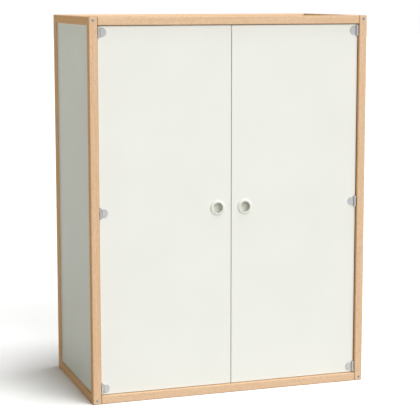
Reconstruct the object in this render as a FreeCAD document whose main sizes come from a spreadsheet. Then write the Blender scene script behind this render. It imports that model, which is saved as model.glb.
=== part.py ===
import FreeCAD, Part
import enum
import os
import types

import Sketcher

# A two-door cabinet: a frame of rounded wooden posts and rails with white panels held in its grooves,
# two inset doors on pinned hinges, a round finger pull on each door, two shelves and a magnetic catch.
# Lengths are in millimetres. X runs to the right, Y to the back and Z up, and the origin lies on the
# floor under the middle of the cabinet.

SIZES = {
    # The whole cabinet
    "cabinet_width": 762,
    "cabinet_depth": 408,
    "cabinet_height": 1000,
    # Posts and rails
    "post_width": 22,
    "post_depth": 26,
    "rail_height": 22,
    "frame_rounding": 2.5,
    # Panels and the grooves that hold them
    "panel_thickness": 12,
    "panel_recess": 5,
    "groove_depth": 5,
    "groove_play": 0.1,
    "panel_edge_play": 0.5,
    # Long screws that hold the frame together
    "frame_screw_length": 60,
    "frame_screw_shank": 3.5,
    "frame_screw_head": 8,
    "frame_screw_head_depth": 4,
    "frame_screw_socket": 4.4,
    "frame_screw_socket_depth": 2,
    "frame_screw_inset": 10,
    "frame_screw_drop": 9.5,
    "frame_screw_crossing_gap": 1,
    "frame_screw_groove_web": 0.75,
    "screw_play": 0.1,
    # Doors
    "door_thickness": 18,
    "door_recess": 8,
    "door_side_gap": 1.5,
    "door_end_gap": 1.2,
    "door_meeting_gap": 1.5,
    "door_rounding": 1.5,
    # Hinge barrel and pin
    "hinge_end_offset": 39.5,
    "barrel_diameter": 6,
    "barrel_height": 28,
    "barrel_gap": 0.3,
    "middle_knuckle": 14,
    "knuckle_gap": 0.2,
    "pin_diameter": 3,
    "pin_play": 0.05,
    "pin_cap_diameter": 4.8,
    "pin_cap_height": 1,
    "pin_cap_rounding": 0.8,
    # Hinge leaf on the post
    "leaf_thickness": 1.8,
    "leaf_proud": 0.2,
    "leaf_depth": 21,
    "leaf_lead": 1.6,
    "leaf_web": 3,
    "leaf_screw_back": 12,
    "leaf_screw_spread": 8,
    "mortise_play": 0.1,
    # Hinge plate on the door
    "plate_thickness": 2,
    "plate_height": 23.5,
    "plate_reach": 20.5,
    "plate_groove": 1.75,
    "plate_web": 1,
    "plate_bevel": 0.8,
    "spigot_diameter": 10,
    "spigot_length": 10,
    "spigot_reach": 9,
    "spigot_play": 0.15,
    # Clamp disc and screw behind each hinge plate
    "clamp_diameter": 18,
    "clamp_thickness": 1.5,
    "clamp_bevel": 0.5,
    "clamp_screw_shank": 4,
    "clamp_screw_length": 15,
    "clamp_screw_head": 7.5,
    "clamp_screw_head_height": 2.4,
    "clamp_screw_rounding": 1,
    "clamp_screw_socket": 2.9,
    "clamp_screw_socket_depth": 1.6,
    # Small countersunk screws of the leaves, the strike plates and the catch
    "small_screw_shank": 3,
    "small_screw_length": 13,
    "small_screw_head": 6,
    "small_screw_head_depth": 1.6,
    "small_screw_socket": 2.3,
    "small_screw_socket_depth": 1,
    # Finger pulls
    "pull_diameter": 41.5,
    "pull_height": 4,
    "pull_rim": 0.8,
    "pull_crest": 6.2,
    "pull_lip_rounding": 0.6,
    "pull_cup_diameter": 27,
    "pull_cup_wall": 2,
    "pull_cup_depth": 13,
    "pull_cup_floor": 1.8,
    "pull_cup_rounding": 11,
    "pull_play": 0.1,
    "pull_offset": 38,
    # Shelves and the pins they rest on
    "shelf_thickness": 16,
    "shelf_side_gap": 2,
    "shelf_front_gap": 10,
    "shelf_back_gap": 2,
    "shelf_rounding": 1,
    "lower_pin_height": 308,
    "upper_pin_height": 628,
    "pin_hole_pitch": 32,
    "pin_hole_depth": 9,
    "pin_row_inset": 60,
    "shelf_pin_diameter": 5,
    "shelf_pin_reach": 9,
    "shelf_pin_collar": 8,
    "shelf_pin_collar_width": 1.2,
    "shelf_pin_play": 0.1,
    # Magnetic catch under the top panel and its strike plates on the doors
    "catch_width": 44,
    "catch_depth": 14,
    "catch_height": 26,
    "catch_ear_width": 12,
    "catch_ear_height": 5,
    "catch_rounding": 1,
    "catch_gap": 0.3,
    "magnet_width": 16,
    "magnet_depth": 5,
    "magnet_height": 11,
    "magnet_bottom": 4,
    "magnet_play": 0.1,
    "strike_width": 15,
    "strike_height": 16,
    "strike_thickness": 1.6,
    "strike_screw_spread": 4.5,
    "strike_offset": 12,
}
SCREWS_PER_FACE = 2
HINGES_PER_DOOR = 3
PIN_HOLES_PER_GROUP = 5
SOCKET_SIDES = 6

doc = FreeCAD.newDocument("two_door_cabinet")
sheet = doc.addObject("Spreadsheet::Sheet", "Sizes")
for row, (alias, number) in enumerate(SIZES.items(), start=1):
    sheet.set(f"A{row}", alias)
    sheet.set(f"B{row}", str(number))
    sheet.setAlias(f"B{row}", alias)
doc.recompute()


class Size:
    """A length that carries its formula in the cells of the sheet along with its number."""

    def __init__(self, text, number):
        self.text = text
        self.number = number

    def joined(self, sign, other, number):
        return Size(f"({self.text} {sign} {other.text})", number)

    def __add__(self, other):
        other = sized(other)
        return self.joined("+", other, self.number + other.number)

    def __sub__(self, other):
        other = sized(other)
        return self.joined("-", other, self.number - other.number)

    def __mul__(self, times):
        return Size(f"({self.text} * {times})", self.number * times)

    def __truediv__(self, parts):
        return Size(f"({self.text} / {parts})", self.number / parts)

    def __neg__(self):
        return Size(f"(0 - {self.text})", -self.number)


def sized(value):
    """The value as a Size. Only zero comes without a formula."""
    return value if isinstance(value, Size) else Size(str(value), value)


s = types.SimpleNamespace(**{a: Size(f"Sizes.{a}", float(sheet.get(a))) for a in SIZES})

X = FreeCAD.Vector(1, 0, 0)
Y = FreeCAD.Vector(0, 1, 0)
Z = FreeCAD.Vector(0, 0, 1)
QUARTER = 90
# Turns that point a feature's own Z along the named direction
TOWARD_RIGHT = FreeCAD.Rotation(Y, QUARTER)
TOWARD_LEFT = FreeCAD.Rotation(Y, -QUARTER)
TOWARD_BACK = FreeCAD.Rotation(X, -QUARTER)
TOWARD_FRONT = FreeCAD.Rotation(X, QUARTER)
UPWARD = FreeCAD.Rotation()


class At(enum.IntEnum):
    """The points of a sketch line or arc."""

    START = 1
    END = 2
    CENTRE = 3


# The number that a sketch gives to its own origin
ORIGIN = -1

pieces = []


def bind(item, **lengths):
    """Ties properties of the item to formulas in the sheet's cells."""
    for name, length in lengths.items():
        item.setExpression(name, sized(length).text)


def place(item, spot, turn=UPWARD):
    """Puts the item at the spot, with each coordinate tied to the sheet."""
    spot = [sized(value) for value in spot]
    item.Placement = FreeCAD.Placement(FreeCAD.Vector(*[value.number for value in spot]), turn)
    for axis, value in zip("xyz", spot):
        item.setExpression(f"Placement.Base.{axis}", value.text)


def new_body(label, spot=(0, 0, 0), turn=UPWARD):
    body = doc.addObject("PartDesign::Body", label)
    body.Label = label
    place(body, spot, turn)
    return body


def piece(item):
    """Counts the item among the pieces that are written out."""
    pieces.append(item)
    return item


def origin_part(body, role):
    return [part for part in body.Origin.OriginFeatures if part.Role == role][0]


def arc_between(start, end, centre_u):
    """The shorter arc from start to end whose centre lies at the given first coordinate."""
    rise = end.y - start.y
    run = end.x - start.x
    across = end.x * end.x - start.x * start.x + end.y * end.y - start.y * start.y
    centre = FreeCAD.Vector(centre_u, (across - 2 * centre_u * run) / (2 * rise), 0)
    radius = (start - centre).Length
    outward = (start + end) / 2 - centre
    if outward.Length < Part.Precision.confusion():
        outward = FreeCAD.Vector(rise, -run, 0)
    return Part.Arc(start, centre + outward.normalize() * radius, end)


def outline(body, plane, corners, arcs=None):
    """A closed outline on one of the body's own planes. Each corner is held by its distances from the
    origin. A side named in arcs is an arc, and the value is the first coordinate of its centre."""
    arcs = arcs or {}
    sketch = body.newObject("Sketcher::SketchObject", "outline")
    sketch.AttachmentSupport = (origin_part(body, plane), [""])
    sketch.MapMode = "FlatFace"
    corners = [(sized(u), sized(v)) for u, v in corners]
    spots = [FreeCAD.Vector(u.number, v.number, 0) for u, v in corners]
    count = len(corners)
    first_end = []
    for side, start in enumerate(spots):
        end = spots[(side + 1) % count]
        if side in arcs:
            sketch.addGeometry(arc_between(start, end, sized(arcs[side]).number), False)
        else:
            sketch.addGeometry(Part.LineSegment(start, end), False)
        to_start = (sketch.getPoint(side, At.START) - start).Length
        to_end = (sketch.getPoint(side, At.END) - start).Length
        first_end.append(At.START if to_start < to_end else At.END)
    for side in range(count):
        following = (side + 1) % count
        last_end = At.START if first_end[side] == At.END else At.END
        sketch.addConstraint(
            Sketcher.Constraint("Coincident", side, last_end, following, first_end[following])
        )
    for side, corner in enumerate(corners):
        hold_point(sketch, side, first_end[side], corner[0], "DistanceX", "Vertical")
        hold_point(sketch, side, first_end[side], corner[1], "DistanceY", "Horizontal")
    for side, centre_u in arcs.items():
        hold_point(sketch, side, At.CENTRE, sized(centre_u), "DistanceX", "Vertical")
    return sketch


def hold_point(sketch, side, point, length, distance, level):
    """Holds one coordinate of a point in a sketch, at zero or at a length from the sheet."""
    if length.number == 0:
        sketch.addConstraint(Sketcher.Constraint(level, ORIGIN, At.START, side, point))
        return
    number = sketch.addConstraint(
        Sketcher.Constraint(distance, ORIGIN, At.START, side, point, length.number)
    )
    sketch.setExpression(f"Constraints[{number}]", length.text)


def padded(body, sketch, length):
    pad = body.newObject("PartDesign::Pad", "pad")
    pad.Profile = sketch
    bind(pad, Length=length)
    return pad


def rounded(body, radius, edges=None):
    """Rounds the named edges of the body's last feature, or all its edges."""
    base = body.Tip
    doc.recompute()
    fillet = body.newObject("PartDesign::Fillet", "rounding")
    fillet.Base = (base, edges or [])
    fillet.UseAllEdges = not edges
    bind(fillet, Radius=radius)
    return fillet


def bevelled(body, size, edges):
    base = body.Tip
    doc.recompute()
    chamfer = body.newObject("PartDesign::Chamfer", "bevel")
    chamfer.Base = (base, edges)
    bind(chamfer, Size=size)
    return chamfer


def edges_at(body, axis, length):
    """Names of the edges of the body's last feature that lie wholly at one place along an axis."""
    doc.recompute()
    names = []
    for number, edge in enumerate(body.Tip.Shape.Edges, start=1):
        ends = (getattr(edge.BoundBox, axis + "Min"), getattr(edge.BoundBox, axis + "Max"))
        if max(abs(end - length.number) for end in ends) < Part.Precision.confusion():
            names.append(f"Edge{number}")
    return names


def block(body, kind, spot, lengths):
    """A box added to the body or cut from it."""
    box = body.newObject(f"PartDesign::{kind}Box", "block")
    bind(box, Length=lengths[0], Width=lengths[1], Height=lengths[2])
    place(box, spot)
    return box


def rod(body, kind, spot, radius, length, turn=UPWARD):
    """A cylinder added to the body or cut from it."""
    cylinder = body.newObject(f"PartDesign::{kind}Cylinder", "rod")
    bind(cylinder, Radius=radius, Height=length)
    place(cylinder, spot, turn)
    return cylinder


def taper(body, kind, spot, start_radius, end_radius, length, turn=UPWARD):
    """A cone added to the body or cut from it."""
    cone = body.newObject(f"PartDesign::{kind}Cone", "taper")
    bind(cone, Radius1=start_radius, Radius2=end_radius, Height=length)
    place(cone, spot, turn)
    return cone


def row_along(body, features, role, length, count):
    """Repeats features of the body in an even row along one of its axes."""
    base = body.Tip
    row = body.newObject("PartDesign::LinearPattern", "row")
    row.BaseFeature = base
    row.Originals = features
    row.Direction = (origin_part(body, role), [""])
    bind(row, Length=length)
    row.Occurrences = count
    body.Tip = row
    return row


def board(label, spot, lengths, rounding=None):
    """A straight board with its lower front left corner at the spot."""
    body = new_body(label, spot)
    long_x, long_y, long_z = lengths
    sketch = outline(body, "XY_Plane", [(0, 0), (long_x, 0), (long_x, long_y), (0, long_y)])
    padded(body, sketch, long_z)
    if rounding:
        rounded(body, rounding)
    return body


def mirrored(label, source, normal=X, height=0):
    """The mirror image of a piece, in the middle plane or in the level plane at a height."""
    mirror = doc.addObject("Part::Mirroring", label)
    mirror.Label = label
    mirror.Source = source
    mirror.Normal = normal
    bind(mirror, **{"Base.z": height})
    return piece(mirror)


def group(label, master, spots):
    """A set of equal separate pieces, each a link to the master at its own spot and turn."""
    links = []
    for spot, turn in spots:
        link = doc.addObject("App::Link", label + "_one")
        link.LinkedObject = master
        place(link, spot, turn)
        links.append(link)
    compound = doc.addObject("Part::Compound", label)
    compound.Label = label
    compound.Links = links
    return piece(compound)


# Places that several pieces share
half_width = s.cabinet_width / 2
half_depth = s.cabinet_depth / 2
front = -half_depth
left = -half_width
post_inside = left + s.post_width
post_back = front + s.post_depth
panel_inside = left + s.panel_recess + s.panel_thickness
ceiling = s.cabinet_height - s.panel_recess - s.panel_thickness
groove_width = s.panel_thickness + s.groove_play * 2
groove_recess = s.panel_recess - s.groove_play
groove_end = s.rail_height - s.groove_depth
groove_height = s.cabinet_height - groove_end * 2
frame_hole = s.frame_screw_shank / 2 + s.screw_play
frame_head_hole = s.frame_screw_head / 2 + s.screw_play
small_hole = s.small_screw_shank / 2 + s.screw_play
small_head_hole = s.small_screw_head / 2 + s.screw_play
side_screw_drop = s.frame_screw_drop + s.frame_screw_shank + s.frame_screw_crossing_gap
side_screw_inset = s.post_depth - s.groove_depth - s.frame_screw_groove_web - s.frame_screw_shank / 2
hinge_span = s.cabinet_height - s.hinge_end_offset * 2
barrel_radius = s.barrel_diameter / 2
axis_offset = barrel_radius + s.barrel_gap + s.leaf_proud
axis_x = post_inside + axis_offset
door_face = front + s.door_recess
door_back = door_face + s.door_thickness
axis_y = door_face - s.barrel_gap - barrel_radius
mortise_depth = s.leaf_thickness - s.leaf_proud
hinge_heights = {
    "lower": s.hinge_end_offset,
    "middle": s.cabinet_height / 2,
    "upper": s.cabinet_height - s.hinge_end_offset,
}


def screw_holes(post, spot, turn, through, span):
    """A countersunk hole through a post near its foot, and the same near its top."""
    hole = rod(post, "Subtractive", spot, frame_hole, through, turn)
    sink = taper(post, "Subtractive", spot, frame_head_hole, frame_hole, s.frame_screw_head_depth, turn)
    row_along(post, [hole, sink], "Z_Axis", span, SCREWS_PER_FACE)


front_screw_span = s.cabinet_height - s.frame_screw_drop * 2
side_screw_span = s.cabinet_height - side_screw_drop * 2
post_lengths = (s.post_width, s.post_depth, s.cabinet_height)

# Front left post, with the groove for the side panel and a shallow mortise for each hinge leaf
front_left_post = piece(board("front_left_post", (left, front, 0), post_lengths, s.frame_rounding))
block(
    front_left_post,
    "Subtractive",
    (groove_recess, s.post_depth - s.groove_depth, groove_end),
    (groove_width, s.groove_depth, groove_height),
)
front_screw_spot = (s.frame_screw_inset, 0, s.frame_screw_drop)
side_screw_spot = (0, side_screw_inset, side_screw_drop)
screw_holes(front_left_post, front_screw_spot, TOWARD_BACK, s.post_depth, front_screw_span)
screw_holes(front_left_post, side_screw_spot, TOWARD_RIGHT, s.post_width, side_screw_span)
axis_in_post = axis_y - front
leaf_front = axis_in_post - s.leaf_lead
for height in hinge_heights.values():
    block(
        front_left_post,
        "Subtractive",
        (
            s.post_width - mortise_depth,
            leaf_front - s.mortise_play,
            height - s.barrel_height / 2 - s.mortise_play,
        ),
        (mortise_depth, s.leaf_depth + s.mortise_play * 2, s.barrel_height + s.mortise_play * 2),
    )
    for rise in (-s.leaf_screw_spread, s.leaf_screw_spread):
        rod(
            front_left_post,
            "Subtractive",
            (s.post_width, axis_in_post + s.leaf_screw_back, height + rise),
            small_hole,
            s.small_screw_length + s.screw_play,
            TOWARD_LEFT,
        )

# Back left post, with grooves for the side panel and the back panel
back_left_post = piece(
    board("back_left_post", (left, half_depth - s.post_depth, 0), post_lengths, s.frame_rounding)
)
block(
    back_left_post,
    "Subtractive",
    (groove_recess, 0, groove_end),
    (groove_width, s.groove_depth, groove_height),
)
block(
    back_left_post,
    "Subtractive",
    (s.post_width - s.groove_depth, s.post_depth - groove_recess - groove_width, groove_end),
    (s.groove_depth, groove_width, groove_height),
)
back_screw_spot = (s.frame_screw_inset, s.post_depth, s.frame_screw_drop)
screw_holes(back_left_post, back_screw_spot, TOWARD_FRONT, s.post_depth, front_screw_span)
screw_holes(back_left_post, side_screw_spot, TOWARD_RIGHT, s.post_width, side_screw_span)

# Rails of the top frame, each with a groove for the top panel and, but for the front one, a groove
# underneath for the panel below it
rail_floor = s.cabinet_height - s.rail_height
cross_length = s.cabinet_width - s.post_width * 2
side_length = s.cabinet_depth - s.post_depth * 2
cross_lengths = (cross_length, s.post_depth, s.rail_height)
side_lengths = (s.post_width, side_length, s.rail_height)
rail_groove_floor = s.rail_height - groove_recess - groove_width


def cross_pilots(rail):
    """Pilot holes for the side screws in both ends of a front or back rail."""
    depth = s.frame_screw_length - s.post_width + s.screw_play
    height = s.rail_height - side_screw_drop
    rod(rail, "Subtractive", (0, side_screw_inset, height), frame_hole, depth, TOWARD_RIGHT)
    rod(rail, "Subtractive", (cross_length, side_screw_inset, height), frame_hole, depth, TOWARD_LEFT)


def side_pilots(rail):
    """Pilot holes for the front and back screws in both ends of a side rail."""
    depth = s.frame_screw_length - s.post_depth + s.screw_play
    height = s.rail_height - s.frame_screw_drop
    rod(rail, "Subtractive", (s.frame_screw_inset, 0, height), frame_hole, depth, TOWARD_BACK)
    rod(rail, "Subtractive", (s.frame_screw_inset, side_length, height), frame_hole, depth, TOWARD_FRONT)


top_front_rail = piece(
    board("top_front_rail", (post_inside, front, rail_floor), cross_lengths, s.frame_rounding)
)
block(
    top_front_rail,
    "Subtractive",
    (0, s.post_depth - s.groove_depth, rail_groove_floor),
    (cross_length, s.groove_depth, groove_width),
)
cross_pilots(top_front_rail)

top_back_rail = piece(
    board(
        "top_back_rail",
        (post_inside, half_depth - s.post_depth, rail_floor),
        cross_lengths,
        s.frame_rounding,
    )
)
block(
    top_back_rail, "Subtractive", (0, 0, rail_groove_floor), (cross_length, s.groove_depth, groove_width)
)
block(
    top_back_rail,
    "Subtractive",
    (0, s.post_depth - groove_recess - groove_width, 0),
    (cross_length, groove_width, s.groove_depth),
)
cross_pilots(top_back_rail)

top_left_rail = piece(
    board("top_left_rail", (left, post_back, rail_floor), side_lengths, s.frame_rounding)
)
block(
    top_left_rail,
    "Subtractive",
    (s.post_width - s.groove_depth, 0, rail_groove_floor),
    (s.groove_depth, side_length, groove_width),
)
block(
    top_left_rail, "Subtractive", (groove_recess, 0, 0), (groove_width, side_length, s.groove_depth)
)
side_pilots(top_left_rail)

# The bottom frame is the top frame upside down, and the right side is the mirror image of the left
middle_height = s.cabinet_height / 2
bottom_front_rail = mirrored("bottom_front_rail", top_front_rail, Z, middle_height)
bottom_back_rail = mirrored("bottom_back_rail", top_back_rail, Z, middle_height)
bottom_left_rail = mirrored("bottom_left_rail", top_left_rail, Z, middle_height)
mirrored("top_right_rail", top_left_rail)
mirrored("bottom_right_rail", bottom_left_rail)
mirrored("front_right_post", front_left_post)
mirrored("back_right_post", back_left_post)

# Screws that hold the posts to the rails, head first along their own Z
frame_screw = new_body("frame_screw")
rod(frame_screw, "Additive", (0, 0, 0), s.frame_screw_shank / 2, s.frame_screw_length)
taper(
    frame_screw,
    "Additive",
    (0, 0, 0),
    s.frame_screw_head / 2,
    s.frame_screw_shank / 2,
    s.frame_screw_head_depth,
)


def socket(screw, width, depth, height=0):
    """A six-sided socket cut into the head of a screw."""
    prism = screw.newObject("PartDesign::SubtractivePrism", "socket")
    prism.Polygon = SOCKET_SIDES
    bind(prism, Circumradius=width / 2, Height=depth)
    place(prism, (0, 0, height))


socket(frame_screw, s.frame_screw_socket, s.frame_screw_socket_depth)
frame_spots = []
for height in (s.frame_screw_drop, s.cabinet_height - s.frame_screw_drop):
    for across in (left + s.frame_screw_inset, half_width - s.frame_screw_inset):
        frame_spots.append(((across, front, height), TOWARD_BACK))
        frame_spots.append(((across, half_depth, height), TOWARD_FRONT))
for height in (side_screw_drop, s.cabinet_height - side_screw_drop):
    for along in (front + side_screw_inset, half_depth - s.post_depth + side_screw_inset):
        frame_spots.append(((left, along, height), TOWARD_RIGHT))
        frame_spots.append(((half_width, along, height), TOWARD_LEFT))
group("frame_screws", frame_screw, frame_spots)

# White panels in the grooves. The side panels carry two groups of shelf pin holes in each row.
tongue = s.groove_depth - s.panel_edge_play
panel_height = s.cabinet_height - s.rail_height * 2 + tongue * 2
panel_floor = s.rail_height - tongue
left_side_panel = piece(
    board(
        "left_side_panel",
        (left + s.panel_recess, post_back - tongue, panel_floor),
        (s.panel_thickness, side_length + tongue * 2, panel_height),
    )
)
pin_rows = (post_back + s.pin_row_inset, half_depth - s.post_depth - s.pin_row_inset)
group_span = s.pin_hole_pitch * (PIN_HOLES_PER_GROUP - 1)
for along in pin_rows:
    for height in (s.lower_pin_height, s.upper_pin_height):
        hole = rod(
            left_side_panel,
            "Subtractive",
            (s.panel_thickness, along - post_back + tongue, height - panel_floor - group_span / 2),
            s.shelf_pin_diameter / 2 + s.shelf_pin_play,
            s.pin_hole_depth,
            TOWARD_LEFT,
        )
        row_along(left_side_panel, [hole], "Z_Axis", group_span, PIN_HOLES_PER_GROUP)
mirrored("right_side_panel", left_side_panel)

piece(
    board(
        "back_panel",
        (post_inside - tongue, half_depth - s.panel_recess - s.panel_thickness, panel_floor),
        (cross_length + tongue * 2, s.panel_thickness, panel_height),
    )
)

# Top and bottom panels, with their corners notched round the posts
long_half = half_width - s.post_width + tongue
short_half = half_width - s.post_width - s.panel_edge_play
deep_half = half_depth - s.post_depth + tongue
shallow_half = half_depth - s.post_depth - s.panel_edge_play
notched = [
    (-short_half, -deep_half),
    (short_half, -deep_half),
    (short_half, -shallow_half),
    (long_half, -shallow_half),
    (long_half, shallow_half),
    (short_half, shallow_half),
    (short_half, deep_half),
    (-short_half, deep_half),
    (-short_half, shallow_half),
    (-long_half, shallow_half),
    (-long_half, -shallow_half),
    (-short_half, -shallow_half),
]
top_panel = piece(new_body("top_panel", (0, 0, ceiling)))
bottom_panel = piece(new_body("bottom_panel", (0, 0, s.panel_recess)))
for panel in (top_panel, bottom_panel):
    padded(panel, outline(panel, "XY_Plane", notched), s.panel_thickness)

# Two shelves, each resting on four pins
shelf_half = -panel_inside - s.shelf_side_gap
shelf_front = post_back + s.shelf_front_gap
shelf_depth = side_length - s.shelf_front_gap - s.shelf_back_gap
pin_heights = {"lower_shelf": s.lower_pin_height, "upper_shelf": s.upper_pin_height}
for label, height in pin_heights.items():
    piece(
        board(
            label,
            (-shelf_half, shelf_front, height + s.shelf_pin_diameter / 2 + s.shelf_pin_play),
            (shelf_half * 2, shelf_depth, s.shelf_thickness),
            s.shelf_rounding,
        )
    )

shelf_pin = new_body("shelf_pin")
pin_root = s.pin_hole_depth - s.shelf_pin_play
rod(
    shelf_pin,
    "Additive",
    (0, 0, -pin_root),
    s.shelf_pin_diameter / 2,
    pin_root + s.shelf_pin_reach,
)
rod(shelf_pin, "Additive", (0, 0, 0), s.shelf_pin_collar / 2, s.shelf_pin_collar_width)
pin_spots = []
for height in pin_heights.values():
    for along in pin_rows:
        pin_spots.append(((panel_inside, along, height), TOWARD_RIGHT))
        pin_spots.append(((-panel_inside, along, height), TOWARD_LEFT))
group("shelf_pins", shelf_pin, pin_spots)

# Left door, with a bore for each hinge spigot, one for the finger pull and holes for the strike plate
door_left = post_inside + s.door_side_gap
door_floor = s.rail_height + s.door_end_gap
door_width = -door_left - s.door_meeting_gap / 2
door_height = s.cabinet_height - door_floor * 2
strike_middle = ceiling - s.catch_height + s.magnet_bottom + s.magnet_height / 2
left_door = piece(
    board(
        "left_door",
        (door_left, door_face, door_floor),
        (door_width, s.door_thickness, door_height),
        s.door_rounding,
    )
)
bore_x = axis_x + s.spigot_reach - door_left
bore_z = s.hinge_end_offset - door_floor
spigot_bore = rod(
    left_door,
    "Subtractive",
    (bore_x, 0, bore_z),
    s.spigot_diameter / 2 + s.spigot_play,
    s.spigot_length + s.spigot_play,
    TOWARD_BACK,
)
clamp_hole = rod(
    left_door,
    "Subtractive",
    (bore_x, 0, bore_z),
    s.clamp_screw_shank / 2 + s.screw_play,
    s.door_thickness,
    TOWARD_BACK,
)
row_along(left_door, [spigot_bore, clamp_hole], "Z_Axis", hinge_span, HINGES_PER_DOOR)
cup_radius = s.pull_cup_diameter / 2 + s.pull_cup_wall
cup_length = s.pull_cup_depth + s.pull_cup_floor
rod(
    left_door,
    "Subtractive",
    (-s.pull_offset - door_left, 0, middle_height - door_floor),
    cup_radius + s.pull_play,
    cup_length + s.pull_play,
    TOWARD_BACK,
)
for rise in (-s.strike_screw_spread, s.strike_screw_spread):
    rod(
        left_door,
        "Subtractive",
        (-s.strike_offset - door_left, s.door_thickness, strike_middle + rise - door_floor),
        small_hole,
        s.small_screw_length - s.strike_thickness + s.screw_play,
        TOWARD_FRONT,
    )
mirrored("right_door", left_door)

# Finger pull: a rounded ring round a cup, turned about an axis square to the door
left_finger_pull = piece(
    new_body("left_finger_pull", (-s.pull_offset, door_face, middle_height), TOWARD_FRONT)
)
ring_radius = s.pull_diameter / 2
crest_radius = ring_radius - s.pull_crest
lip_radius = s.pull_cup_diameter / 2 + s.pull_lip_rounding
bore_radius = s.pull_cup_diameter / 2
pull_profile = [
    (0, -cup_length),
    (cup_radius, -cup_length),
    (cup_radius, 0),
    (ring_radius, 0),
    (ring_radius, s.pull_rim),
    (crest_radius, s.pull_height),
    (lip_radius, s.pull_height),
    (bore_radius, s.pull_height - s.pull_lip_rounding),
    (bore_radius, s.pull_cup_rounding - s.pull_cup_depth),
    (bore_radius - s.pull_cup_rounding, -s.pull_cup_depth),
    (0, -s.pull_cup_depth),
]
pull_arcs = {4: crest_radius, 6: lip_radius, 8: bore_radius - s.pull_cup_rounding}
turned = left_finger_pull.newObject("PartDesign::Revolution", "turned")
turned.Profile = outline(left_finger_pull, "XZ_Plane", pull_profile, pull_arcs)
turned.ReferenceAxis = (turned.Profile[0], ["V_Axis"])
mirrored("right_finger_pull", left_finger_pull)


def hinge_leaf(label, height):
    """The post's half of a hinge: a plate let into the post and the two outer knuckles."""
    leaf = piece(new_body(label, (axis_x, axis_y, height)))
    inner = -axis_offset - mortise_depth
    block(
        leaf,
        "Additive",
        (inner, -s.leaf_lead, -s.barrel_height / 2),
        (s.leaf_thickness, s.leaf_depth, s.barrel_height),
    )
    knuckle = (s.barrel_height - s.middle_knuckle) / 2 - s.knuckle_gap
    for floor in (-s.barrel_height / 2, s.barrel_height / 2 - knuckle):
        block(
            leaf, "Additive", (-axis_offset, -s.leaf_web / 2, floor), (axis_offset, s.leaf_web, knuckle)
        )
        rod(leaf, "Additive", (0, 0, floor), barrel_radius, knuckle)
    rod(
        leaf,
        "Subtractive",
        (0, 0, -s.barrel_height / 2),
        s.pin_diameter / 2 + s.pin_play,
        s.barrel_height,
    )
    for rise in (-s.leaf_screw_spread, s.leaf_screw_spread):
        spot = (s.leaf_proud - axis_offset, s.leaf_screw_back, rise)
        rod(leaf, "Subtractive", spot, small_hole, s.leaf_thickness, TOWARD_LEFT)
        taper(
            leaf, "Subtractive", spot, small_head_hole, small_hole, s.small_screw_head_depth, TOWARD_LEFT
        )
    return leaf


def hinge_pin(label, height):
    """A riveted pin with a rounded cap at each end."""
    pin = piece(new_body(label, (axis_x, axis_y, height)))
    half = s.barrel_height / 2
    rod(pin, "Additive", (0, 0, -half), s.pin_diameter / 2, s.barrel_height)
    for floor in (-half - s.pin_cap_height, half):
        rod(pin, "Additive", (0, 0, floor), s.pin_cap_diameter / 2, s.pin_cap_height)
    tip = half + s.pin_cap_height
    ends = edges_at(pin, "Z", tip) + edges_at(pin, "Z", -tip)
    rounded(pin, s.pin_cap_rounding, ends)
    return pin


def hinge_plate(label, height):
    """The door's half of a hinge: a round-ended plate with the middle knuckle and a spigot."""
    plate = piece(new_body(label, (axis_x, door_face, height)))
    round_end = s.plate_height / 2
    start = barrel_radius + s.plate_groove
    middle = s.plate_reach - round_end
    corners = [(start, -round_end), (middle, -round_end), (middle, round_end), (start, round_end)]
    padded(plate, outline(plate, "XZ_Plane", corners, {1: middle}), s.plate_thickness)
    bevelled(plate, s.plate_bevel, edges_at(plate, "Y", -s.plate_thickness))
    back_of_barrel = axis_y - door_face
    half_knuckle = s.middle_knuckle / 2
    rod(plate, "Additive", (0, back_of_barrel, -half_knuckle), barrel_radius, s.middle_knuckle)
    block(
        plate,
        "Additive",
        (0, -s.plate_web - s.barrel_gap, -half_knuckle),
        (start + s.plate_bevel, s.plate_web, s.middle_knuckle),
    )
    rod(
        plate,
        "Subtractive",
        (0, back_of_barrel, -half_knuckle),
        s.pin_diameter / 2 + s.pin_play,
        s.middle_knuckle,
    )
    rod(
        plate,
        "Additive",
        (s.spigot_reach, 0, 0),
        s.spigot_diameter / 2,
        s.spigot_length,
        TOWARD_BACK,
    )
    rod(
        plate,
        "Subtractive",
        (s.spigot_reach, s.spigot_length, 0),
        s.clamp_screw_shank / 2 + s.screw_play,
        s.spigot_length,
        TOWARD_FRONT,
    )
    return plate


for level, height in hinge_heights.items():
    mirrored(f"right_{level}_hinge_leaf", hinge_leaf(f"left_{level}_hinge_leaf", height))
    mirrored(f"right_{level}_hinge_pin", hinge_pin(f"left_{level}_hinge_pin", height))
    mirrored(f"right_{level}_hinge_plate", hinge_plate(f"left_{level}_hinge_plate", height))

# Small countersunk screw, head first along its own Z
small_screw = new_body("small_screw")
rod(small_screw, "Additive", (0, 0, 0), s.small_screw_shank / 2, s.small_screw_length)
taper(
    small_screw,
    "Additive",
    (0, 0, 0),
    s.small_screw_head / 2,
    s.small_screw_shank / 2,
    s.small_screw_head_depth,
)
socket(small_screw, s.small_screw_socket, s.small_screw_socket_depth)
leaf_spots = []
for height in hinge_heights.values():
    for rise in (-s.leaf_screw_spread, s.leaf_screw_spread):
        along = axis_y + s.leaf_screw_back
        leaf_spots.append(((post_inside + s.leaf_proud, along, height + rise), TOWARD_LEFT))
        leaf_spots.append(((-post_inside - s.leaf_proud, along, height + rise), TOWARD_RIGHT))
group("hinge_leaf_screws", small_screw, leaf_spots)

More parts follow.
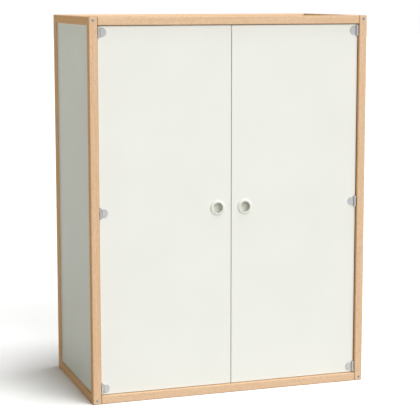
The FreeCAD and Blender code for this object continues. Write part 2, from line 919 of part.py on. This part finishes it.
# Disc and screw that clamp each hinge plate to its door from behind
clamp_disc = new_body("clamp_disc")
rod(clamp_disc, "Additive", (0, 0, 0), s.clamp_diameter / 2, s.clamp_thickness)
bevelled(clamp_disc, s.clamp_bevel, edges_at(clamp_disc, "Z", s.clamp_thickness))
rod(clamp_disc, "Subtractive", (0, 0, 0), s.clamp_screw_shank / 2 + s.screw_play, s.clamp_thickness)
clamp_screw = new_body("clamp_screw")
rod(clamp_screw, "Additive", (0, 0, 0), s.clamp_screw_head / 2, s.clamp_screw_head_height)
rounded(clamp_screw, s.clamp_screw_rounding, edges_at(clamp_screw, "Z", s.clamp_screw_head_height))
rod(
    clamp_screw,
    "Additive",
    (0, 0, -s.clamp_screw_length),
    s.clamp_screw_shank / 2,
    s.clamp_screw_length,
)
socket(
    clamp_screw,
    s.clamp_screw_socket,
    s.clamp_screw_socket_depth,
    s.clamp_screw_head_height - s.clamp_screw_socket_depth,
)
disc_spots = []
clamp_spots = []
for height in hinge_heights.values():
    disc_spots.append(((axis_x + s.spigot_reach, door_back, height), TOWARD_BACK))
    clamp_spots.append(((axis_x + s.spigot_reach, door_back + s.clamp_thickness, height), TOWARD_BACK))
mirrored("right_clamp_discs", group("left_clamp_discs", clamp_disc, disc_spots))
mirrored("right_clamp_screws", group("left_clamp_screws", clamp_screw, clamp_spots))

# Magnetic catch: a block with an ear on each side, hung under the top panel behind the doors
catch_front = door_back + s.strike_thickness + s.catch_gap
catch_floor = ceiling - s.catch_height
catch_block = piece(
    board(
        "catch_block",
        (-s.catch_width / 2, catch_front, catch_floor),
        (s.catch_width, s.catch_depth, s.catch_height),
        s.catch_rounding,
    )
)
block(
    catch_block,
    "Additive",
    (-s.catch_ear_width, 0, s.catch_height - s.catch_ear_height),
    (s.catch_width + s.catch_ear_width * 2, s.catch_depth, s.catch_ear_height),
)
catch_screw_x = s.catch_width / 2 + s.catch_ear_width / 2
catch_screw_y = catch_front + s.catch_depth / 2
ear_floor = ceiling - s.catch_ear_height
catch_spots = []
for across in (-catch_screw_x, catch_screw_x):
    spot = (across + s.catch_width / 2, s.catch_depth / 2, s.catch_height - s.catch_ear_height)
    rod(catch_block, "Subtractive", spot, small_hole, s.catch_ear_height)
    taper(catch_block, "Subtractive", spot, small_head_hole, small_hole, s.small_screw_head_depth)
    rod(
        top_panel,
        "Subtractive",
        (across, catch_screw_y, 0),
        small_hole,
        s.small_screw_length - s.catch_ear_height + s.screw_play,
    )
    catch_spots.append(((across, catch_screw_y, ear_floor), UPWARD))
group("catch_screws", small_screw, catch_spots)

# Magnets let into the front of the catch, and the strike plates they hold
magnet = new_body("catch_magnet")
block(
    magnet, "Additive", (-s.magnet_width / 2, 0, 0), (s.magnet_width, s.magnet_depth, s.magnet_height)
)
magnet_spots = []
for across in (-s.strike_offset, s.strike_offset):
    block(
        catch_block,
        "Subtractive",
        (
            across + s.catch_width / 2 - s.magnet_width / 2 - s.magnet_play,
            0,
            s.magnet_bottom - s.magnet_play,
        ),
        (
            s.magnet_width + s.magnet_play * 2,
            s.magnet_depth + s.magnet_play,
            s.magnet_height + s.magnet_play * 2,
        ),
    )
    magnet_spots.append(((across, catch_front, catch_floor + s.magnet_bottom), UPWARD))
group("catch_magnets", magnet, magnet_spots)

left_strike_plate = piece(
    board(
        "left_strike_plate",
        (-s.strike_offset - s.strike_width / 2, door_back, strike_middle - s.strike_height / 2),
        (s.strike_width, s.strike_thickness, s.strike_height),
    )
)
strike_spots = []
for rise in (-s.strike_screw_spread, s.strike_screw_spread):
    spot = (s.strike_width / 2, s.strike_thickness, s.strike_height / 2 + rise)
    rod(left_strike_plate, "Subtractive", spot, small_hole, s.strike_thickness, TOWARD_FRONT)
    taper(
        left_strike_plate,
        "Subtractive",
        spot,
        small_head_hole,
        small_hole,
        s.small_screw_head_depth,
        TOWARD_FRONT,
    )
    strike_spots.append(
        ((-s.strike_offset, door_back + s.strike_thickness, strike_middle + rise), TOWARD_FRONT)
    )
mirrored("right_strike_plate", left_strike_plate)
mirrored("right_strike_screws", group("left_strike_screws", small_screw, strike_spots))

doc.recompute()

# Write each piece once it is known to be sound
for item in doc.Objects:
    if "Invalid" in item.State or "Error" in item.State:
        raise RuntimeError(f"{item.Label} could not be built")
os.makedirs("parts", exist_ok=True)
for item in pieces:
    if item.Shape.isNull() or not item.Shape.isValid():
        raise RuntimeError(f"{item.Label} has no sound shape")
    item.Shape.exportStep(f"parts/{item.Label}.step")
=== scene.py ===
import math
import random

import bpy
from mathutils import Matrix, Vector


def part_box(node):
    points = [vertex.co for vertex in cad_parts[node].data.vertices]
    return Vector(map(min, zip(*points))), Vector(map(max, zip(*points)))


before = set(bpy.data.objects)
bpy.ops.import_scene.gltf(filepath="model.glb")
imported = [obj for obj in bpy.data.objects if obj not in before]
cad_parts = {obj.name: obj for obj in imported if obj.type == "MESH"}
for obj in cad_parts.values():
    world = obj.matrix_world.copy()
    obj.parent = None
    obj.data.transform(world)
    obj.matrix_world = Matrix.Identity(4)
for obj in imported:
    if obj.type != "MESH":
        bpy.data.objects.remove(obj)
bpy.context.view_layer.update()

# The looks of a two-door cabinet: a beech frame, white boards, satin nickel hinges and white finger pulls
# on a white studio floor. Lengths are in metres, in the frame's own axes: X right, Y back and Z up.

MM = 0.001
MOST_NOISE = (0.3, 0.7)


def colour(red, green, blue):
    return (red, green, blue, 1.0)


class Shader:
    """The node tree of a material or of the world, built node by node."""

    def __init__(self, owner):
        self.owner = owner
        owner.use_nodes = True
        self.tree = owner.node_tree
        self.tree.nodes.clear()

    def node(self, kind, inputs=None, **settings):
        """Adds a node. Its inputs take sockets, which are joined, or plain values, which are set."""
        node = self.tree.nodes.new(f"ShaderNode{kind}")
        for name, value in settings.items():
            setattr(node, name, value)
        for name, value in (inputs or {}).items():
            if isinstance(value, bpy.types.NodeSocket):
                self.tree.links.new(value, node.inputs[name])
            else:
                node.inputs[name].default_value = value
        return node

    def number(self, operation, *values):
        return self.node("Math", dict(enumerate(values)), operation=operation).outputs[0]

    def vector(self, operation, *values):
        return self.node("VectorMath", dict(enumerate(values)), operation=operation).outputs[0]

    def join(self, **parts):
        """The vector of the X, Y and Z given."""
        return self.node("CombineXYZ", parts).outputs[0]

    def parts(self, vector):
        """The X, Y and Z of a vector, by name."""
        return self.node("SeparateXYZ", {"Vector": vector}).outputs

    def place(self, order="XYZ", offset=(0, 0, 0)):
        """The point on the piece at rest, with its axes in the order given and then moved by the offset."""
        parts = self.parts(self.node("TexCoord").outputs["Object"])
        turned = self.join(**{axis: parts[source] for axis, source in zip("XYZ", order)})
        return self.vector("ADD", turned, offset)

    def normal(self):
        """The X, Y and Z of the way that the surface faces, in the axes of the piece."""
        return self.parts(self.node("TexCoord").outputs["Normal"])

    def facing(self, axis):
        """How far the surface faces along an axis of the piece, either way, from 0 to 1."""
        return self.number("ABSOLUTE", self.normal()[axis])

    def noise(self, point, size, detail=2.0, roughness=0.5):
        """A cloudy pattern from 0 to 1. The size of its clouds is one length, or one along each axis."""
        lengths = size if isinstance(size, tuple) else (size, size, size)
        scaled = self.vector("MULTIPLY", point, [1 / length for length in lengths])
        inputs = {"Vector": scaled, "Scale": 1.0, "Detail": detail, "Roughness": roughness}
        return self.node("TexNoise", inputs).outputs["Fac"]

    def between(self, value, span, result=(0.0, 1.0)):
        """The value with its span spread over the result's span, and held at the ends."""
        inputs = {"Value": value, "From Min": span[0], "From Max": span[1]}
        inputs.update({"To Min": result[0], "To Max": result[1]})
        return self.node("MapRange", inputs).outputs["Result"]

    def blend(self, share, first, second):
        """The first colour turning into the second one with the share."""
        node = self.node("MixRGB", {"Fac": share, "Color1": first, "Color2": second})
        return node.outputs["Color"]

    def stain_and_shade(self, tone, pattern, span, strength, stain_and_shade):
        """The tone with an overlay of real colour or of painted shade, which grows to its full strength
        along the pattern's span.
        """
        return self.blend(self.between(pattern, span, (0, strength)), tone, stain_and_shade)

    def bump(self, height, depth):
        inputs = {"Height": height, "Distance": depth, "Strength": 1.0}
        return self.node("Bump", inputs).outputs["Normal"]

    def finish(self, **inputs):
        """Closes a material with one surface shader, whose inputs are named with _ for a space."""
        inputs = {name.replace("_", " "): value for name, value in inputs.items()}
        surface = self.node("BsdfPrincipled", inputs)
        self.node("OutputMaterial", {"Surface": surface.outputs[0]})
        return self.owner


def new_shader(name):
    return Shader(bpy.data.materials.new(name))


# Beech. Sizes are across the grain twice and then along it, so the axes are put in that order.
GRAIN_LAST = {"X": "YZX", "Y": "XZY", "Z": "XYZ"}
BAND_NOISE = dict(size=(4 * MM, 6 * MM, 220 * MM), detail=3, roughness=0.6)
MOTTLE_NOISE = dict(size=(4 * MM, 4 * MM, 9 * MM))
FIBRE_NOISE = dict(size=(0.4 * MM, 0.4 * MM, 25 * MM))
FLECK_NOISE = dict(size=(0.35 * MM, 0.6 * MM, 2.6 * MM), detail=0)
BOARD_PALENESS = 0.12
# The radial tones are paler than the flat ones partly because of the cut and partly as painted sheen on
# faces not turned to the sides.
RADIAL_TONES_WITH_SHEEN = (colour(0.835, 0.611, 0.426), colour(0.750, 0.511, 0.331))
FLAT_TONES = (colour(0.990, 0.625, 0.350), colour(0.895, 0.517, 0.266))
FLAT_CUT_SPAN = (0.3, 0.9)
MOTTLE_STAIN = dict(span=(0.35, 0.70), strength=0.36, stain_and_shade=colour(0.610, 0.375, 0.165))
FIBRE_STAIN = dict(span=(0.3, 0.8), strength=0.22, stain_and_shade=colour(0.580, 0.350, 0.170))
FLECK_STAIN = dict(span=(0.60, 0.74), strength=0.45, stain_and_shade=colour(0.400, 0.215, 0.095))
DEEP_BROWN = colour(0.430, 0.235, 0.105)
END_STAIN = dict(span=(0.35, 0.95), strength=0.75, stain_and_shade=DEEP_BROWN)
# Painted shade on the sides of posts and side rails that face the cabinet's middle.
INNER_PAINTED_SHADE = dict(span=(0.2, 0.7), strength=0.55, stain_and_shade=DEEP_BROWN)
BEECH_ROUGHNESS = dict(span=(0.2, 0.8), result=(0.58, 0.72))
FLECK_RISE = 0.5
BEECH_RELIEF = 0.04 * MM
BEECH_SPECULAR = 0.006


def board_tone(shader, point, paleness):
    """The bands of a board: paler radial cut to front and back, and warmer flat cut to the sides. The paler
    front and back tone is partly painted sheen.
    """
    bands = shader.noise(point, **BAND_NOISE)
    band_share = shader.between(bands, [end + paleness for end in MOST_NOISE])
    radial = shader.blend(band_share, *RADIAL_TONES_WITH_SHEEN)
    flat = shader.blend(band_share, *FLAT_TONES)
    return shader.blend(shader.between(shader.facing("X"), FLAT_CUT_SPAN), radial, flat)


def facing_inward(shader, node):
    """How far the surface of a piece at the left or right faces the cabinet's middle, from -1 to 1."""
    low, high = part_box(node)
    inward = -1 if low.x + high.x > 0 else 1
    return shader.number("MULTIPLY", shader.normal()["X"], inward)


def beech(node, grain):
    """Soaped beech. The grain runs along the named axis, and each piece is cut from its own board.

    End grain is darker, and the sides that posts and side rails turn to the middle carry painted shade.
    """
    shader = new_shader(f"beech_{node}")
    board = random.Random(f"{node} wood")
    paleness = board.uniform(-BOARD_PALENESS, BOARD_PALENESS)
    offset = [board.uniform(-1, 1) for _ in "XYZ"]
    point = shader.place(GRAIN_LAST[grain], offset)
    fibres = shader.noise(point, **FIBRE_NOISE)
    flecks = shader.noise(point, **FLECK_NOISE)
    tone = board_tone(shader, point, paleness)
    tone = shader.stain_and_shade(tone, shader.noise(point, **MOTTLE_NOISE), **MOTTLE_STAIN)
    tone = shader.stain_and_shade(tone, fibres, **FIBRE_STAIN)
    tone = shader.stain_and_shade(tone, flecks, **FLECK_STAIN)
    tone = shader.stain_and_shade(tone, shader.facing(grain), **END_STAIN)
    # Painted shade on the sides turned to the cabinet's middle.
    if grain != "X":
        tone = shader.stain_and_shade(tone, facing_inward(shader, node), **INNER_PAINTED_SHADE)
    height = shader.number("ADD", fibres, shader.number("MULTIPLY", flecks, FLECK_RISE))
    return shader.finish(
        Base_Color=tone,
        Roughness=shader.between(fibres, **BEECH_ROUGHNESS),
        Normal=shader.bump(height, BEECH_RELIEF),
        Specular_IOR_Level=BEECH_SPECULAR,
    )


# White lacquer
LACQUER_TONES = (colour(0.822, 0.826, 0.765), colour(0.842, 0.846, 0.790))
LACQUER_CLOUD = 180 * MM
LACQUER_STIPPLE = 1.1 * MM
LACQUER_ROUGHNESS = (0.07, 0.12)
LACQUER_RELIEF = 0.012 * MM
LACQUER_SPECULAR = 0.012


def white_lacquer():
    """Smooth white lacquer on board, with the faint stipple that a roller leaves."""
    shader = new_shader("white_lacquer_board")
    point = shader.place()
    cloud = shader.noise(point, LACQUER_CLOUD)
    stipple = shader.noise(point, LACQUER_STIPPLE)
    return shader.finish(
        Base_Color=shader.blend(shader.between(cloud, MOST_NOISE), *LACQUER_TONES),
        Roughness=shader.between(stipple, MOST_NOISE, LACQUER_ROUGHNESS),
        Normal=shader.bump(stipple, LACQUER_RELIEF),
        Specular_IOR_Level=LACQUER_SPECULAR,
    )


# Satin nickel
NICKEL_TONES = (colour(0.47, 0.47, 0.475), colour(0.53, 0.53, 0.535))
NICKEL_CLOUD = 9 * MM
NICKEL_BRUSHING = (6 * MM, 6 * MM, 0.12 * MM)
NICKEL_ROUGHNESS = dict(span=(0.25, 0.75), result=(0.48, 0.58))
NICKEL_RELIEF = 0.006 * MM


def satin_nickel():
    """Brushed nickel, dulled to a satin sheen."""
    shader = new_shader("satin_nickel_plate")
    point = shader.place()
    brushing = shader.noise(point, NICKEL_BRUSHING)
    return shader.finish(
        Base_Color=shader.blend(shader.noise(point, NICKEL_CLOUD), *NICKEL_TONES),
        Metallic=1.0,
        Roughness=shader.between(brushing, **NICKEL_ROUGHNESS),
        Normal=shader.bump(brushing, NICKEL_RELIEF),
    )


# Zinc plate
ZINC_TONES = (colour(0.40, 0.415, 0.43), colour(0.47, 0.485, 0.50))
# Painted shade in the sockets of the frame screws.
ZINC_SOCKET_SHADE = colour(0.22, 0.225, 0.23)
ZINC_CLOUD = dict(size=2.5 * MM, detail=3)
ZINC_GRIT = 0.2 * MM
ZINC_ROUGHNESS = (0.44, 0.54)
ZINC_RELIEF = 0.004 * MM
SOCKET_RIM = (0.2 * MM, 0.8 * MM)
SOCKET_FLOOR = (2.2 * MM, 2.6 * MM)


def socket_shade_share(shader, point):
    """Where painted shade goes: one in the sockets of the frame screws, by their depth under the frame's
    outer faces.
    """
    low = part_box("front_left_post")[0]
    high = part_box("back_right_post")[1]
    from_middle = shader.vector("ABSOLUTE", shader.vector("SUBTRACT", point, (low + high) / 2))
    depths = shader.parts(shader.vector("SUBTRACT", (high - low) / 2, from_middle))
    depth = shader.number("MINIMUM", depths["X"], depths["Y"])
    below_rim = shader.between(depth, SOCKET_RIM)
    above_floor = shader.between(depth, SOCKET_FLOOR, (1, 0))
    return shader.number("MULTIPLY", below_rim, above_floor)


def zinc_steel():
    """Dulled, cloudy zinc plate on steel screws and pins. Painted shade darkens the frame screws' sockets.
    """
    shader = new_shader("zinc_plated_steel")
    point = shader.place()
    cloud = shader.noise(point, **ZINC_CLOUD)
    tone = shader.blend(cloud, *ZINC_TONES)
    return shader.finish(
        Base_Color=shader.blend(socket_shade_share(shader, point), tone, ZINC_SOCKET_SHADE),
        Metallic=1.0,
        Roughness=shader.between(cloud, MOST_NOISE, ZINC_ROUGHNESS),
        Normal=shader.bump(shader.noise(point, ZINC_GRIT), ZINC_RELIEF),
    )


# White plastic. The depths in a finger cup are from the crest of its ring.
PLASTIC_TONES = (colour(0.765, 0.768, 0.712), colour(0.790, 0.793, 0.740))
# Painted shade inside the finger cups.
PLASTIC_CUP_SHADE = colour(0.650, 0.655, 0.590)
PLASTIC_CLOUD = 25 * MM
PLASTIC_GRAIN = dict(size=0.35 * MM, detail=1)
PLASTIC_ROUGHNESS = (0.32, 0.42)
PLASTIC_RELIEF = 0.008 * MM
PLASTIC_SPECULAR = 0.12
PLASTIC_GLOW = 0.6
PLASTIC_GLOW_TINT = (1.0, 1.0, 0.9)
PLASTIC_GLOW_REACH = 3 * MM
CUP_WALL = (13.5 * MM, 14 * MM)
CUP_DEPTHS = (0.5 * MM, 7 * MM)


def cup_shade_share(shader, point):
    """Where painted shade goes: one deep in either finger cup and none outside. The left pull mirrors the
    right one.
    """
    low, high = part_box("right_finger_pull")
    centre = (low + high) / 2
    parts = shader.parts(point)
    across = shader.number("ABSOLUTE", parts["X"])
    level_point = shader.join(X=across, Y=centre.y, Z=parts["Z"])
    measure = shader.node("VectorMath", {0: level_point, 1: centre}, operation="DISTANCE")
    inside = shader.between(measure.outputs["Value"], CUP_WALL, (1, 0))
    deep = shader.between(parts["Y"], [low.y + depth for depth in CUP_DEPTHS])
    return shader.number("MULTIPLY", inside, deep)


def white_plastic():
    """Moulded white plastic with a fine spark-eroded grain. Painted shade greys the inside of the finger
    cups.
    """
    shader = new_shader("white_moulded_plastic")
    point = shader.place()
    grain = shader.noise(point, **PLASTIC_GRAIN)
    tone = shader.blend(shader.noise(point, PLASTIC_CLOUD), *PLASTIC_TONES)
    return shader.finish(
        Base_Color=shader.blend(cup_shade_share(shader, point), tone, PLASTIC_CUP_SHADE),
        Roughness=shader.between(grain, MOST_NOISE, PLASTIC_ROUGHNESS),
        Normal=shader.bump(grain, PLASTIC_RELIEF),
        Specular_IOR_Level=PLASTIC_SPECULAR,
        Subsurface_Weight=PLASTIC_GLOW,
        Subsurface_Radius=PLASTIC_GLOW_TINT,
        Subsurface_Scale=PLASTIC_GLOW_REACH,
    )


# Ferrite
FERRITE_TONES = (colour(0.035, 0.035, 0.037), colour(0.085, 0.083, 0.080))
FERRITE_GRAIN = dict(size=0.4 * MM, detail=3)
FERRITE_ROUGHNESS = (0.55, 0.75)
FERRITE_RELIEF = 0.03 * MM


def ferrite():
    """Pressed ferrite: dark grey, dull and grainy."""
    shader = new_shader("pressed_ferrite")
    grain = shader.noise(shader.place(), **FERRITE_GRAIN)
    return shader.finish(
        Base_Color=shader.blend(grain, *FERRITE_TONES),
        Roughness=shader.between(grain, MOST_NOISE, FERRITE_ROUGHNESS),
        Normal=shader.bump(grain, FERRITE_RELIEF),
    )


def grain_axis(node):
    """The axis that a frame piece is longest along."""
    low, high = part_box(node)
    lengths = dict(zip("XYZ", high - low))
    return max(lengths, key=lengths.get)


def dress_nodes():
    """Gives each CAD node the material of its slot in the record."""
    finishes = {
        "white_lacquer": white_lacquer(),
        "satin_nickel": satin_nickel(),
        "zinc_steel": zinc_steel(),
        "white_plastic": white_plastic(),
        "ferrite": ferrite(),
    }
    for name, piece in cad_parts.items():
        slot = piece.material_slots[0]
        finish_name = slot.material.name
        slot.material = beech(name, grain_axis(name)) if finish_name == "beech" else finishes[finish_name]


# The studio. Turns are in degrees from the cabinet's right towards its back, and rises from the floor up.
FLOOR_REACH = 30.0
FLOOR_DROP = 0.2 * MM
FLOOR_LIT = colour(0.36, 0.36, 0.36)
FLOOR_SEEN = colour(1.23, 1.23, 1.23)
WHITE = colour(1.0, 1.0, 1.0)
ROOM_FILL = 0.06
ROOM_SEEN = 1.0
LAMPS = {
    "front_light": dict(turn=-70, rise=17, level=0.965, spread=60),
    "top_light": dict(turn=-26, rise=76, level=0.64, spread=28, mirrored=True),
    "left_light": dict(turn=184, rise=2, level=0.302, spread=14, tint=(0.99, 1.0, 0.85)),
    "back_light": dict(turn=60, rise=2, level=0.5, spread=12),
}


def seen_rays(shader):
    """One for the rays that show the background to the camera, straight or by way of metal or glass."""
    path = shader.node("LightPath").outputs
    straight_or_mirrored = shader.number("ADD", path["Is Camera Ray"], path["Is Glossy Ray"])
    return shader.between(shader.number("ADD", straight_or_mirrored, path["Is Transmission Ray"]), (0, 1))


def studio_floor():
    """A wide white floor that takes the cabinet's shadow."""
    corners = [(x * FLOOR_REACH, y * FLOOR_REACH, 0) for x, y in ((-1, -1), (1, -1), (1, 1), (-1, 1))]
    mesh = bpy.data.meshes.new("studio_floor")
    mesh.from_pydata(corners, [], [(0, 1, 2, 3)])
    floor = bpy.data.objects.new("studio_floor", mesh)
    bpy.context.scene.collection.objects.link(floor)
    floor.location.z = -FLOOR_DROP
    shader = new_shader("studio_floor_white")
    tone = shader.blend(seen_rays(shader), FLOOR_LIT, FLOOR_SEEN)
    paper = shader.node("BsdfDiffuse", {"Color": tone})
    shader.node("OutputMaterial", {"Surface": paper.outputs[0]})
    mesh.materials.append(shader.owner)


def sun(name, turn, rise, level, spread, tint=(1, 1, 1), mirrored=False):
    """A soft lamp of one level all over, with a disc that is spread wide.

    Only a mirrored lamp leaves its highlight on glossy surfaces. The others just light them.
    """
    turn = math.radians(turn)
    rise = math.radians(rise)
    toward = Vector((math.cos(rise) * math.cos(turn), math.cos(rise) * math.sin(turn), math.sin(rise)))
    lamp = bpy.data.lights.new(name, "SUN")
    lamp.energy = level * math.pi
    lamp.angle = math.radians(spread)
    lamp.color = tint
    holder = bpy.data.objects.new(name, lamp)
    holder.rotation_euler = toward.to_track_quat("Z", "Y").to_euler()
    holder.visible_glossy = mirrored
    bpy.context.scene.collection.objects.link(holder)


def light_studio():
    """A front lamp, a lamp overhead and weaker ones from the left and the back, in a white room."""
    for name, lamp in LAMPS.items():
        sun(name, **lamp)
    world = bpy.data.worlds.new("studio")
    bpy.context.scene.world = world
    shader = Shader(world)
    fill = shader.node("Background", {"Color": WHITE, "Strength": ROOM_FILL})
    seen = shader.node("Background", {"Color": WHITE, "Strength": ROOM_SEEN})
    room = shader.node("MixShader", {0: seen_rays(shader), 1: fill.outputs[0], 2: seen.outputs[0]})
    shader.node("OutputWorld", {"Surface": room.outputs[0]})


# The camera. Its sensor and lens are in millimetres and its turns in degrees.
CAMERA_SENSOR = 36
CAMERA_LENS = 120.4
CAMERA_SHIFT = -0.04
CAMERA_PLACE = (-1.2319, -3.6439, 1.0538)
CAMERA_TURNS = (81.965, 0, -18.786)


def set_camera():
    camera = bpy.data.cameras.new("camera")
    camera.sensor_width = CAMERA_SENSOR
    camera.lens = CAMERA_LENS
    camera.shift_y = CAMERA_SHIFT
    holder = bpy.data.objects.new("camera", camera)
    holder.location = CAMERA_PLACE
    holder.rotation_euler = [math.radians(turn) for turn in CAMERA_TURNS]
    bpy.context.scene.collection.objects.link(holder)
    bpy.context.scene.camera = holder


dress_nodes()
studio_floor()
light_studio()
set_camera()
bpy.context.scene.view_settings.view_transform = "Standard"
